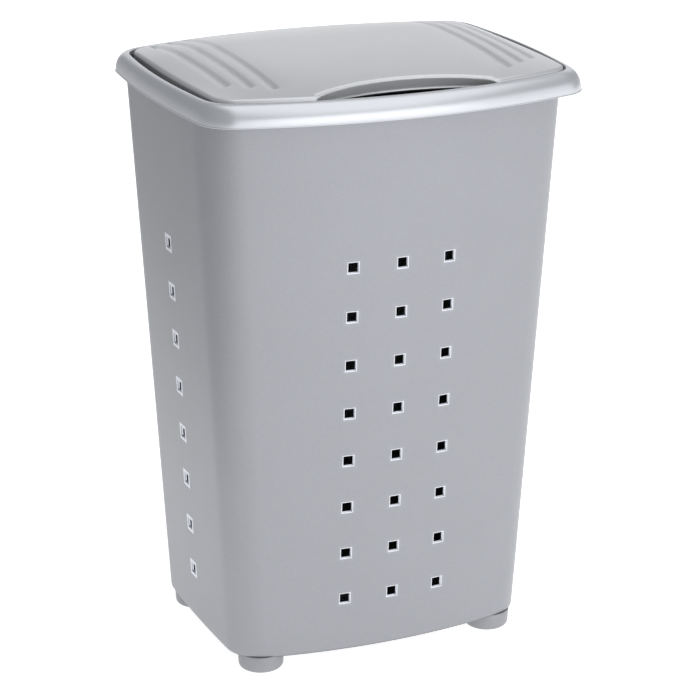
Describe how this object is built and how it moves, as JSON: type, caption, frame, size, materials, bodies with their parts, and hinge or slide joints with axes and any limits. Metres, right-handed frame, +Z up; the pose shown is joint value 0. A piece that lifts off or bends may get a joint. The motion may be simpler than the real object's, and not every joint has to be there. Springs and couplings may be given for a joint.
{
  "type": "laundry hamper with lid",
  "caption": "Tapered laundry hamper of silver plastic with bowed sides, square air holes, a rolled rim, round feet and a hinged domed lid with a finger arch.",
  "frame": {"origin": "on the floor, under the middle of the rim, which is the widest piece", "axes": "+X to the right seen from the front, +Y to the back, where the lid's hinge is, +Z up"},
  "size_m": [0.383, 0.324, 0.5732],
  "materials": {
    "tub_shell": "satin silver, metal-flake plastic",
    "rim": "glossier silver, metal-flake plastic",
    "lid_panel": "satin silver, metal-flake plastic",
    "foot": "satin silver, metal-flake plastic",
    "hinge_pin": "plain grey plastic"
  },
  "bodies": {
    "base": {"tub": "tub_shell", "collar": "rim", "foot_front_left": "foot", "foot_front_right": "foot", "foot_rear_left": "foot", "foot_rear_right": "foot", "hinge_pin_left": "hinge_pin", "hinge_pin_right": "hinge_pin"},
    "lid": {"lid": "lid_panel"}
  },
  "joints": [
    {"name": "lid_hinge", "type": "hinge", "parent": "base", "child": "lid", "pos_m": [0, 0.0995, 0.5498], "axis": [-1, 0, 0], "range_deg": [0, 93]}
  ]
}
